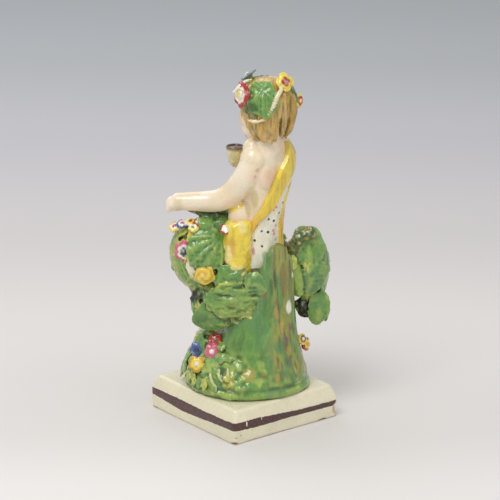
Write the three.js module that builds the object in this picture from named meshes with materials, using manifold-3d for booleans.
// A glazed earthenware figure: a child with a flower wreath and a garland sits on a tree stump,
// holds up a cup, and stands with its mound of leaves on a square plinth.
// Millimetres, +Z up. The child faces -Y, and its left hand points to +X.
// The origin is the centre of the plinth's underside.
import * as THREE from "three";
import { mergeVertices } from "three/addons/utils/BufferGeometryUtils.js";
import Module from "manifold-3d";

const wasm = await Module();
wasm.setup();

// Driving sizes
const PLINTH_WIDTH = 62;
const PLINTH_DEPTH = 65.5;
const PLINTH_HEIGHT = 16;
const MOUND_RADIUS = 28;
const HEAD_HEIGHT = 150.5;
const LEAF_THICKNESS = 2.8;
const FLOWER_THICKNESS = 2.8;
const CUPPED_FLOWER = 8;

// The figure stands a little behind the plinth's centre
const FIGURE_SETBACK = 1.75;

// The plinth's side: straight up to the shoulder, then leaning in to a soft top edge
const PLINTH_SHOULDER = 0.6 * PLINTH_HEIGHT;
const PLINTH_LEAN = 1.9;
const PLINTH_SOFT_EDGE = 0.9;
const PLINTH_CORNER = 1.6;

// The head is turned a little to the child's left
const HEAD_TURN = THREE.MathUtils.degToRad(12);

// Rounded masses that the leaves and flowers lie on
const HEAD = { center: [-8, 6, HEAD_HEIGHT], radii: [12.6, 12.8, 13.4] };
const LAP = { center: [13.5, -14.5, 78], radii: [14.6, 14.6, 17] };
const TAIL = { center: [12.4, -6.6, 57], radii: [10.6, 9.6, 11.6] };
const BUNCH = { center: [-29, 10.5, 68], radii: [8.6, 7.6, 15.6] };
const TIP = { center: [-33, 11.5, 47.5], radii: [5, 5, 8] };
const MOUND = { center: [0, -1, PLINTH_HEIGHT], radii: [29, 29, 28] };

// Small masses that lift a flower of the wreath clear of the hair
const SIDE_BUD = { center: [1.4, 4.2, 156.4], radii: [4, 4, 4] };
const CROWN_BUD = { center: [-10.4, 12, 161], radii: [4, 4, 4] };
const BROW_BUD = { center: [-4.6, 0, 160.4], radii: [4, 4, 4] };

// The garland's roll from the left knee over the lap to the right hip
const ROLL = [
  { center: [7, -25, 80], radii: [8, 7, 7.4] },
  { center: [-4, -27, 78.5], radii: [8, 6.6, 6.6] },
  { center: [-16, -25, 80], radii: [8, 6.6, 6.6] },
  { center: [-25, -15, 76], radii: [6.6, 8, 6.2] },
  { center: [-28, -3, 70], radii: [6.6, 7.6, 6.4] },
];

// The trunk, slim at the waist and leaning back to the shoulders: height, centre, half sizes
const TRUNK = [
  { z: 70, x: -5, y: 3.5, rx: 11.5, ry: 10 },
  { z: 79, x: -5, y: 3.6, rx: 11.2, ry: 9.4 },
  { z: 87, x: -5, y: 4, rx: 9.4, ry: 8 },
  { z: 95, x: -5.2, y: 4.4, rx: 9, ry: 7.6 },
  { z: 103, x: -5.8, y: 4.8, rx: 9.8, ry: 7.8 },
  { z: 112, x: -6.8, y: 5.4, rx: 11.4, ry: 8.4 },
  { z: 120, x: -7.8, y: 6, rx: 12.6, ry: 8.2 },
  { z: 127, x: -8.4, y: 6.2, rx: 12.4, ry: 7.2 },
  { z: 132, x: -8.4, y: 6, rx: 9.4, ry: 6.4 },
  { z: 136.5, x: -8.2, y: 5.8, rx: 6.4, ry: 5.8 },
];

// The cloth on the back, from its foot up: height, and the bearings of its edges on the trunk
const DRAPE = [
  { z: 76, left: 4, right: 140 },
  { z: 90, left: 9, right: 142 },
  { z: 96.8, left: 25, right: 144 },
  { z: 103, left: 52, right: 146 },
  { z: 113.6, left: 75, right: 152 },
  { z: 122, left: 93, right: 165 },
  { z: 133, left: 128, right: 176 },
];
const CLOTH_LAYER = 1.1;
const CLOTH_HEM = 0.8;

const GREEN = 0x5f8f46;
const CREAM = 0xded8b8;

function vec(point) {
  return new THREE.Vector3(...point);
}

// Closed solids

// Moves every vertex of a geometry by a function of its position.
function reshape(geometry, move) {
  const position = geometry.getAttribute("position");
  const point = new THREE.Vector3();
  for (let i = 0; i < position.count; i += 1) {
    point.fromBufferAttribute(position, i);
    move(point);
    position.setXYZ(i, point.x, point.y, point.z);
  }
  return geometry;
}

// A manifold solid from a closed geometry, with its faces turned outwards.
function solid(geometry) {
  geometry.deleteAttribute("normal");
  geometry.deleteAttribute("uv");
  const merged = mergeVertices(geometry, 1e-4);
  const points = merged.getAttribute("position").array;
  const faces = [];
  let volume = 0;
  const index = merged.getIndex().array;
  for (let i = 0; i < index.length; i += 3) {
    const [a, b, c] = [index[i], index[i + 1], index[i + 2]];
    if (a === b || b === c || c === a) continue;
    faces.push(a, b, c);
    const [p, q, r] = [a, b, c].map((k) => vec(points.slice(3 * k, 3 * k + 3)));
    volume += p.dot(q.cross(r));
  }
  if (volume < 0) faces.reverse();
  return new wasm.Manifold(new wasm.Mesh({
    numProp: 3,
    vertProperties: new Float32Array(points),
    triVerts: new Uint32Array(faces),
  }));
}

function join(solids) {
  return solids.reduce((whole, next) => whole.add(next));
}

// The indices of the largest connected shell, which leaves out bubbles closed in by a join.
function outerShell(faces, pointCount) {
  const parent = Array.from({ length: pointCount }, (_, i) => i);
  const rootOf = (i) => {
    let root = i;
    while (parent[root] !== root) root = parent[root];
    parent[i] = root;
    return root;
  };
  for (let i = 0; i < faces.length; i += 3) {
    parent[rootOf(faces[i + 1])] = rootOf(faces[i]);
    parent[rootOf(faces[i + 2])] = rootOf(faces[i]);
  }
  const shells = new Map();
  for (let i = 0; i < faces.length; i += 3) {
    const root = rootOf(faces[i]);
    if (!shells.has(root)) shells.set(root, []);
    shells.get(root).push(faces[i], faces[i + 1], faces[i + 2]);
  }
  return [...shells.values()].reduce((most, shell) => (shell.length > most.length ? shell : most));
}

function meshOf(body, name, color, roughness) {
  const { vertProperties, triVerts } = body.getMesh();
  const faces = outerShell(triVerts, vertProperties.length / 3);
  const geometry = new THREE.BufferGeometry();
  geometry.setAttribute("position", new THREE.BufferAttribute(new Float32Array(vertProperties), 3));
  geometry.setIndex(faces);
  const tidy = mergeVertices(geometry);
  tidy.computeVertexNormals();
  const material = new THREE.MeshStandardMaterial({ color, roughness, metalness: 0 });
  const mesh = new THREE.Mesh(tidy, material);
  mesh.name = name;
  return mesh;
}

// An ellipsoid; turn holds its Euler angles in degrees.
function ball(center, radii, turn = [0, 0, 0], sides = 12) {
  const geometry = new THREE.SphereGeometry(1, sides, Math.round(sides * 0.58));
  geometry.rotateX(Math.PI / 2);
  geometry.scale(...radii);
  const angles = turn.map(THREE.MathUtils.degToRad);
  geometry.applyMatrix4(new THREE.Matrix4().makeRotationFromEuler(new THREE.Euler(...angles)));
  geometry.translate(...center);
  return solid(geometry);
}

// Rings of elliptical section, each { at, rx, ry }, closed flat at both ends. The outline gives
// the ring's reach at an angle from +X, 1 for a plain ellipse.
function loft(rings, sides, outline = () => 1) {
  const ends = [rings[0], ...rings, rings.at(-1)];
  const profile = ends.map((ring, j) => {
    const closed = j === 0 || j === ends.length - 1;
    return new THREE.Vector2(closed ? 0 : 1, j);
  });
  const geometry = reshape(new THREE.LatheGeometry(profile, sides), (p) => {
    const ring = ends[Math.round(p.y)];
    const angle = Math.atan2(p.x, p.z);
    const reach = outline(angle) * Math.hypot(p.x, p.z);
    p.set(
      ring.at[0] + ring.rx * reach * Math.cos(angle),
      ring.at[1] + ring.ry * reach * Math.sin(angle),
      ring.at[2],
    );
  });
  return solid(geometry);
}

// A round limb along a smooth curve through the points, with a radius at each and ball ends.
function limb(points, radii, sides = 7, steps = 1) {
  const curve = new THREE.CatmullRomCurve3(points.map(vec));
  const spans = points.length - 1;
  const rows = steps * spans;
  const frames = curve.computeFrenetFrames(rows);
  const rings = [];
  const addRing = (row, offset, radius) => {
    const center = curve.getPointAt(row / rows);
    center.addScaledVector(frames.tangents[row], offset);
    rings.push({ center, radius, normal: frames.normals[row], binormal: frames.binormals[row] });
  };
  const radiusAt = (row) => {
    const place = curve.getUtoTmapping(row / rows) * spans;
    const span = Math.min(spans - 1, Math.floor(place));
    return THREE.MathUtils.lerp(radii[span], radii[span + 1], place - span);
  };
  const capAngles = [0, 50].map(THREE.MathUtils.degToRad);
  for (const a of capAngles) addRing(0, -radii[0] * Math.cos(a), radii[0] * Math.sin(a));
  for (let row = 0; row <= rows; row += 1) addRing(row, 0, radiusAt(row));
  const end = radii.at(-1);
  for (const a of capAngles.toReversed()) addRing(rows, end * Math.cos(a), end * Math.sin(a));
  const profile = rings.map((ring, j) => new THREE.Vector2(ring.radius, j));
  const geometry = reshape(new THREE.LatheGeometry(profile, sides), (p) => {
    const ring = rings[Math.round(p.y)];
    const across = ring.normal.clone().multiplyScalar(p.x);
    across.addScaledVector(ring.binormal, p.z);
    p.copy(ring.center).add(across);
  });
  return solid(geometry);
}

// Leaves and flowers

// A closed form in the XY plane, long along X: a profile of [reach, height] pairs turned about Z,
// drawn out to the outline, ribbed, and bowed so that its edge lies below its middle. Its ribs
// spread from a point that lies behind the middle by the stem's share of the half length.
function petalForm({ profile, length, width, outline, bow, sides, rib, stem = 0 }) {
  const geometry = new THREE.LatheGeometry(profile.map((pair) => new THREE.Vector2(...pair)), sides);
  geometry.rotateX(Math.PI / 2);
  geometry.rotateZ(Math.PI / 2);
  return reshape(geometry, (p) => {
    const reach = Math.hypot(p.x, p.y);
    const angle = Math.atan2(p.y, p.x);
    const along = reach * outline(angle) * Math.cos(angle) - stem * (1 - reach);
    const across = reach * outline(angle) * Math.sin(angle);
    p.set(0.5 * length * along, 0.5 * width * across, p.z + rib(angle) * reach - bow * reach * reach);
  });
}

// The place, outward normal and downward tangent at a bearing and a height angle on a mass.
function placeOn(mass, azimuth, elevation) {
  const [az, el] = [azimuth, elevation].map(THREE.MathUtils.degToRad);
  const out = new THREE.Vector3(Math.cos(az) * Math.cos(el), Math.sin(az) * Math.cos(el), Math.sin(el));
  const radii = vec(mass.radii);
  const point = out.clone().multiply(radii).add(vec(mass.center));
  const normal = out.divide(radii).normalize();
  const side = new THREE.Vector3(-Math.sin(az), Math.cos(az), 0);
  const down = new THREE.Vector3().crossVectors(side, normal).normalize();
  return { point, normal, down };
}

// Lays a lens on a mass, with its tip turned from straight down by the given degrees.
function lay(geometry, mass, azimuth, elevation, turn) {
  const { point, normal, down } = placeOn(mass, azimuth, elevation);
  const tip = down.clone().applyAxisAngle(normal, THREE.MathUtils.degToRad(turn));
  const across = new THREE.Vector3().crossVectors(normal, tip);
  const place = new THREE.Matrix4().makeBasis(tip, across, normal).setPosition(point);
  return solid(geometry.applyMatrix4(place));
}

// A lobed leaf with ribs that spread from its stem. A large one, with seven lobes or more, has a
// rim round its top.
function leaf(mass, azimuth, elevation, turn, length, width, lobes = 5) {
  const notch = 0.07;
  const back = [[0, -0.35 * LEAF_THICKNESS], [1, 0]];
  const small = [[0, 0.65 * LEAF_THICKNESS]];
  const large = [[0.72, 0.65 * LEAF_THICKNESS], [0, 0.5 * LEAF_THICKNESS]];
  const geometry = petalForm({
    profile: [...back, ...(lobes < 7 ? small : large)],
    length,
    width,
    outline: (a) => 1 - notch + notch * Math.cos(lobes * a),
    bow: 0.12 * width,
    sides: 2 * lobes,
    rib: (a) => 0.035 * width * Math.cos(lobes * a),
    stem: 0.45,
  });
  return lay(geometry, mass, azimuth, elevation, turn);
}

// A daisy of round petals round a low eye. A large one is cupped.
function flower(mass, azimuth, elevation, size, petals = 5) {
  const back = [[0, -0.6 * FLOWER_THICKNESS], [1, 0.3 * FLOWER_THICKNESS]];
  const eye = [0, 0.55 * FLOWER_THICKNESS];
  const cup = [0.42, 0.15 * FLOWER_THICKNESS];
  const geometry = petalForm({
    profile: size < CUPPED_FLOWER ? [...back, eye] : [...back, cup, eye],
    length: size,
    width: size,
    outline: (a) => 0.9 + 0.1 * Math.cos(petals * a),
    bow: 0,
    sides: 2 * petals,
    rib: (a) => 0.02 * size * Math.cos(petals * a),
  });
  return lay(geometry, mass, azimuth, elevation, 0);
}

// The pieces of the figure

// The trunk's centre and half sizes at any height.
function trunkAt(z) {
  const above = Math.max(1, TRUNK.findIndex((ring) => ring.z >= z));
  const [low, high] = [TRUNK[above - 1], TRUNK[above]];
  const share = THREE.MathUtils.clamp((z - low.z) / (high.z - low.z), 0, 1);
  const between = (key) => THREE.MathUtils.lerp(low[key], high[key], share);
  return { x: between("x"), y: between("y"), rx: between("rx"), ry: between("ry") };
}

function trunk() {
  return loft(TRUNK.map(({ z, x, y, rx, ry }) => ({ at: [x, y, z], rx, ry })), 14);
}

// The cloth that hangs from the right shoulder down the back: a slab wrapped on the trunk
// between two edges that spread apart as they come down, with a thick hem along both.
function drape() {
  const columns = 6;
  const rows = DRAPE.length - 1;
  const slab = new THREE.BoxGeometry(1, 1, 1, columns, rows, 1);
  return solid(reshape(slab, (p) => {
    const { z, left, right } = DRAPE[Math.round((p.y + 0.5) * rows)];
    const column = Math.round((p.x + 0.5) * columns);
    const angle = THREE.MathUtils.degToRad(THREE.MathUtils.lerp(right, left, column / columns));
    const hem = column < 2 || column > columns - 2 ? CLOTH_HEM : 0;
    const { x, y, rx, ry } = trunkAt(z);
    const layer = p.z > 0 ? CLOTH_LAYER + hem : -CLOTH_LAYER;
    p.set(x + (rx + layer) * Math.cos(angle), y + (ry + layer) * Math.sin(angle), z);
  }));
}

// A soft bump of the given height and spread round a point, as seen from another point.
function bump(distance, height, spread) {
  return height * Math.exp(-((distance / spread) ** 2));
}

// The head: an egg with brow, nose, lips, chin and cheeks raised on its front.
function head() {
  const [x, y, z] = HEAD.center;
  const [halfWidth, halfDepth, halfHeight] = [11.8, 12.4, 12.8];
  const geometry = new THREE.SphereGeometry(1, 16, 12);
  geometry.rotateX(Math.PI / 2);
  reshape(geometry, (p) => {
    const side = halfWidth * p.x;
    const height = halfHeight * p.z;
    const front = Math.max(0, -p.y);
    const narrow = p.z < 0 ? 1 - 0.16 * p.z * p.z : 1;
    const relief = bump(Math.hypot(side, 0.7 * (height + 2.4)), 1.8, 2)
      + bump(Math.hypot(0.35 * side, height - 2.6), 0.8, 2)
      + bump(Math.hypot(side, height + 10), 1.6, 3)
      + bump(Math.hypot(Math.abs(side) - 5, height + 4.4), 1.3, 3.4)
      - bump(Math.hypot(Math.abs(side) - 3.6, height + 0.4), 0.7, 1.6);
    const depth = halfDepth * p.y - relief * front;
    p.set(side * narrow, depth, height);
    p.applyAxisAngle(new THREE.Vector3(0, 0, 1), HEAD_TURN);
    p.add(vec([x, y, z - 1.2]));
  });
  const neck = limb([[x - 0.2, y, 130], [x + 0.4, y - 0.6, z - 10]], [6.4, 6]);
  return solid(geometry).add(neck);
}

// The hair: ribbed locks that end at the brow in front and hang to the nape behind.
function hair() {
  const [x, y, z] = HEAD.center;
  const strands = 9;
  const rings = [
    { drop: 14.6, back: 2.6, spread: 7.4 },
    { drop: 12, back: 1.8, spread: 10.2 },
    { drop: 7, back: 0.6, spread: 12 },
    { drop: 0, back: 0, spread: 12.8 },
    { drop: -6, back: 0, spread: 11.6 },
    { drop: -10.5, back: 0, spread: 8 },
    { drop: -13, back: 0, spread: 3.4 },
  ];
  const cap = loft(rings.map(({ drop, back, spread }) => (
    { at: [x, y + back, z - drop], rx: spread, ry: spread }
  )), 2 * strands, (a) => 1 + 0.03 * Math.cos(strands * a));
  const face = new THREE.BoxGeometry(40, 30, 60);
  face.rotateX(THREE.MathUtils.degToRad(14));
  face.rotateZ(HEAD_TURN);
  face.translate(x + 3.2, y - 17.2, z - 23.5);
  return cap.subtract(solid(face));
}

function arms() {
  const left = limb(
    [
      [0.5, 6.4, 126], [4, 5, 118], [8.4, -0.4, 109.4],
      [13, -6, 105.6], [20.5, -14, 104.8], [25.5, -19.4, 104.4],
    ],
    [5.8, 5.9, 5.5, 5.1, 4.3, 3.9],
    8,
    2,
  );
  const leftHand = limb([[24.6, -18.6, 104.4], [27.4, -21.4, 103.2], [28.6, -22.8, 100.6]], [4, 3.8, 2.4]);
  const right = limb(
    [[-17.5, 6, 126], [-21.4, 0, 117], [-22, -9.5, 109.4], [-15.5, -14.6, 112.5], [-9.8, -16.4, 117]],
    [5.6, 5, 4.4, 3.8, 2.9],
    7,
    2,
  );
  const rightHand = ball([-8, -16.6, 118.6], [3.8, 3.6, 3.2], [0, 0, 30], 8);
  return join([left, leftHand, right, rightHand]);
}

// A small cup, filled to just below its rim.
function cup() {
  const outer = [
    { z: 116.6, rx: 2.2, ry: 2.2 },
    { z: 118.2, rx: 3.4, ry: 3.4 },
    { z: 121.5, rx: 4.1, ry: 4.1 },
    { z: 125.4, rx: 4.5, ry: 4.5 },
  ];
  const inner = [
    { z: 124.2, rx: 3.5, ry: 3.5 },
    { z: 126, rx: 3.8, ry: 3.8 },
  ];
  const at = ({ z, rx, ry }) => ({ at: [-7, -17.1, z], rx, ry });
  return loft(outer.map(at), 12).subtract(loft(inner.map(at), 12));
}

function legs() {
  const sides = 6;
  const left = limb([[-1, 0, 79], [11, -12, 80], [21, -21, 78]], [9, 8.6, 7], sides);
  const leftShin = limb([[21, -21, 77], [13, -16, 61], [6.4, -9, 43.8]], [6.6, 5.4, 3.4], sides);
  const leftFoot = limb([[4.4, -5.6, 40.4], [9.4, -12, 39.8], [13.5, -18, 39.2]], [3.4, 3.5, 2.6], sides);
  const right = limb([[-11, -1, 79], [-14, -14, 80.5], [-15.5, -23.5, 78]], [9, 8.4, 6.8], sides);
  const rightShin = limb([[-15.5, -23.5, 77], [-15, -22, 60], [-14, -19.5, 43]], [6.5, 5.6, 3.8], sides);
  const rightFoot = limb(
    [[-14, -18.5, 41.4], [-14.5, -23.5, 40], [-15, -28.5, 38.6]],
    [3.4, 3.5, 2.6],
    sides,
  );
  return join([left, leftShin, leftFoot, right, rightShin, rightFoot]);
}

// The stump: fluted, with a notched top that rises behind the child's right side, and a bulge
// in front that the shins lie against.
function stump() {
  const flutes = (a) => 1 + 0.03 * Math.cos(6 * a) + 0.025 * Math.cos(5 * a + 1);
  const rings = [
    { at: [-4, 6, PLINTH_HEIGHT], rx: 22, ry: 21.5 },
    { at: [-4.4, 7, 24], rx: 19.5, ry: 18.6 },
    { at: [-5, 7.6, 36], rx: 16.6, ry: 15.4 },
    { at: [-5.4, 7.4, 52], rx: 14.8, ry: 13.4 },
    { at: [-5.6, 7.2, 68], rx: 14.4, ry: 12.4 },
    { at: [-6, 7, 79], rx: 13.6, ry: 11.6 },
    { at: [-6.6, 7, 89], rx: 12, ry: 11 },
  ];
  const body = loft(rings, 18, flutes);
  const top = new THREE.Shape([
    new THREE.Vector2(-40, 79.5),
    new THREE.Vector2(-12.5, 79.5),
    new THREE.Vector2(-9.4, 86),
    new THREE.Vector2(-3.4, 87),
    new THREE.Vector2(2, 78),
    new THREE.Vector2(40, 76),
    new THREE.Vector2(40, 110),
    new THREE.Vector2(-40, 110),
  ]);
  const notch = new THREE.ExtrudeGeometry(top, { depth: 60, bevelEnabled: false });
  notch.rotateX(Math.PI / 2);
  notch.translate(0, 40, 0);
  const front = ball([-4.5, -6, 57], [12, 10, 27], [0, 0, 0], 10);
  return body.subtract(solid(notch)).add(front);
}

// The grassy mound under the stump, rising to a ledge for the feet.
function mound() {
  const ripple = (a) => 1 + 0.025 * Math.cos(7 * a + 0.6);
  const rings = [
    { at: [0, 0, PLINTH_HEIGHT], rx: 1, ry: 1 },
    { at: [0, 0, 19], rx: 1.01, ry: 1.01 },
    { at: [0.5, -0.6, 25], rx: 0.95, ry: 0.95 },
    { at: [0.5, -2, 32], rx: 0.84, ry: 0.82 },
    { at: [0, -4, 36.6], rx: 0.68, ry: 0.68 },
    { at: [0, -4, 40], rx: 0.42, ry: 0.46 },
  ];
  return loft(rings.map(({ at, rx, ry }) => (
    { at, rx: rx * MOUND_RADIUS, ry: ry * MOUND_RADIUS }
  )), 18, ripple);
}

// The garland: a thick roll across the lap that hangs down on the right, and a heap of leaves
// over the left knee with a tail below it and a leaf that fills in under the forearm.
function garland() {
  const roll = limb(
    [...ROLL.map(({ center }) => center), [-29, 8, 67], [-29, 11, 59]],
    [7.4, 6.2, 5.8, 5.8, 5.8, 7, 5.4],
    6,
  );
  const masses = [LAP, TAIL, BUNCH, TIP].map(({ center, radii }) => (
    ball(center, radii.map((radius) => radius - 0.8), [0, 0, 0], 8)
  ));
  const stem = limb([[-22, 10, 68], [-29, 11, 64], [-31.5, 11.4, 54]], [5, 4.6, 3.4]);
  const underArm = limb([[18, -13.5, 98.8], [11, -10, 97], [4, -7, 95.6]], [1.8, 3.8, 3.6]);
  return join([roll, stem, underArm, ...masses]);
}

// The yellow end of the cloth, bunched over the stump's edge at the left hip, and the cloth
// that lies over the lap and crosses the chest.
function clothEnds() {
  const bunched = loft([
    { at: [8.6, 4.6, 69], rx: 5.6, ry: 5.4 },
    { at: [8.6, 4.8, 77], rx: 6.2, ry: 6.2 },
    { at: [8.4, 4.8, 88], rx: 6, ry: 6 },
    { at: [8.1, 4.7, 94], rx: 5.4, ry: 5.4 },
    { at: [7.8, 4.6, 96.8], rx: 3.4, ry: 3.4 },
  ], 10);
  const chestBand = limb(
    [[-15, 5, 131.4], [-13.5, -1.6, 127.5], [-9, -4, 119], [-2, -4, 106], [3.6, -1.6, 97], [6.4, 3, 90]],
    [1.8, 2.1, 2.1, 2.1, 2.1, 2],
    5,
  );
  const lapCloth = loft([
    { at: [-3, -14, 66], rx: 9, ry: 9 },
    { at: [-4, -13, 78], rx: 11, ry: 10 },
    { at: [-5, -8, 87], rx: 9.6, ry: 8.6 },
    { at: [-6, -2, 92], rx: 6, ry: 5 },
  ], 10);
  return join([bunched, chestBand, lapCloth]);
}

// Leaves and flowers: bearing, height angle, turn of the tip, length, width

function lapLeaves() {
  const leaves = [
    leaf(LAP, 62, 24, -50, 23, 20, 9),
    leaf(LAP, -32, 20, 0, 26, 10),
    leaf(LAP, -18, -10, 6, 26, 9),
    leaf(LAP, 28, 62, 60, 14, 11),
    leaf(LAP, 30, -32, -20, 16, 10),
    leaf(LAP, -72, -6, 10, 24, 15, 7),
  ];
  const flowers = [
    flower(LAP, 12, 20, 9, 6),
    flower(LAP, 56, -22, 8.5, 6),
    flower(LAP, -12, 52, 8),
    flower(LAP, -60, 40, 8),
  ];
  return join([...leaves, ...flowers]);
}

function tailLeaves() {
  return join([
    leaf(TAIL, 66, 40, -70, 28, 16, 7),
    leaf(TAIL, 94, 20, 60, 20, 13),
    leaf(TAIL, 14, 2, -50, 22, 13),
    leaf(TAIL, 60, -18, -80, 28, 13, 7),
    leaf(TAIL, -44, -6, 0, 22, 14),
  ]);
}

function bunchLeaves() {
  return join([
    leaf(BUNCH, 60, 26, 0, 23, 15, 7),
    leaf(BUNCH, 66, -30, 6, 20, 13),
    leaf(BUNCH, 132, 8, 0, 27, 12),
    leaf(BUNCH, -140, 6, 0, 26, 13),
    leaf(TIP, 75, 14, 0, 14, 9),
    leaf(TIP, 150, -8, 10, 13, 8),
    flower(BUNCH, -178, 48, 7.5),
    flower(BUNCH, -104, -8, 7.5),
  ]);
}

// A leaf and a flower on each length of the roll, turned by turns to either side.
function rollLeaves() {
  const outward = [-70, -94, -112, -146, 176];
  return join(ROLL.flatMap((mass, i) => {
    const side = i % 2 ? 1 : -1;
    return [
      leaf(mass, outward[i], -12 + 10 * side, 62 * side, 19, 12),
      flower(mass, outward[i] + 14 * side, 44, 7.6),
    ];
  }));
}

function moundLeaves() {
  const low = [-2, -44, -86, -128, -168];
  const leaves = low.map((bearing, i) => leaf(MOUND, bearing, 19, 24 - 16 * (i % 4), 17, 13));
  const flowers = [
    flower(MOUND, -30, 50, 7.5),
    flower(MOUND, -26, 36, 7.5),
    flower(MOUND, -10, 56, 7.5),
    flower(MOUND, -8, 41, 7),
    flower(MOUND, -140, 42, 8),
    flower(MOUND, 168, 38, 7.5),
    flower(MOUND, 164, 22, 7.5),
  ];
  return join([...leaves, ...flowers]);
}

function wreath() {
  const leaves = [
    leaf(HEAD, 41, 24, 12, 18, 14, 7),
    leaf(HEAD, 138, 26, -20, 11, 8),
    leaf(HEAD, -140, 34, -70, 13, 9),
    leaf(HEAD, -88, 42, 80, 12, 9),
  ];
  const flowers = [
    flower(SIDE_BUD, -2, 16, 12.4, 6),
    flower(CROWN_BUD, 82, 34, 9.6),
    flower(HEAD, 150, 10, 7.5),
    flower(HEAD, -172, 38, 8),
    flower(HEAD, -114, 44, 8),
    flower(BROW_BUD, -60, 50, 9),
  ];
  const buds = [SIDE_BUD, CROWN_BUD, BROW_BUD].map(({ center, radii }) => (
    ball(center, radii.map((radius) => radius - 0.6), [0, 0, 0], 8)
  ));
  return join([...leaves, ...flowers, ...buds]);
}

function figure() {
  const whole = join([
    trunk(), drape(), head(), hair(), arms(), cup(), legs(),
    stump(), mound(), garland(), clothEnds(),
    lapLeaves(), tailLeaves(), bunchLeaves(), rollLeaves(), moundLeaves(), wreath(),
  ]);
  const below = new THREE.BoxGeometry(200, 200, 60);
  below.translate(0, 0, PLINTH_HEIGHT - 30);
  const mesh = meshOf(whole.subtract(solid(below)), "figure", GREEN, 0.25);
  mesh.position.y = FIGURE_SETBACK;
  return mesh;
}

function plinth() {
  const [halfX, halfY, c] = [PLINTH_WIDTH / 2, PLINTH_DEPTH / 2, PLINTH_CORNER];
  const outline = new THREE.Shape();
  outline.moveTo(-halfX + c, -halfY);
  outline.absarc(halfX - c, -halfY + c, c, -Math.PI / 2, 0);
  outline.absarc(halfX - c, halfY - c, c, 0, Math.PI / 2);
  outline.absarc(-halfX + c, halfY - c, c, Math.PI / 2, Math.PI);
  outline.absarc(-halfX + c, -halfY + c, c, Math.PI, 1.5 * Math.PI);
  const slab = new THREE.ExtrudeGeometry(outline, {
    depth: 3,
    steps: 3,
    bevelEnabled: false,
    curveSegments: 3,
  });
  const levels = [
    { z: 0, inset: 0 },
    { z: PLINTH_SHOULDER, inset: 0 },
    { z: PLINTH_HEIGHT - PLINTH_SOFT_EDGE, inset: PLINTH_LEAN },
    { z: PLINTH_HEIGHT, inset: PLINTH_LEAN + PLINTH_SOFT_EDGE },
  ];
  reshape(slab, (p) => {
    const { z, inset } = levels[Math.round(p.z)];
    p.set(p.x * (1 - inset / halfX), p.y * (1 - inset / halfY), z);
  });
  const chips = [
    ball([-halfX - 2, halfY + 2, 4], [5, 5, 4.2], [0, 0, 0], 10),
    ball([halfX + 1, halfY + 1, -0.6], [3.6, 3.6, 2.2], [0, 0, 0], 10),
  ];
  const body = chips.reduce((rest, chip) => rest.subtract(chip), solid(slab));
  return meshOf(body, "plinth", CREAM, 0.25);
}

const object = new THREE.Group();
object.add(figure(), plinth());

export default object;
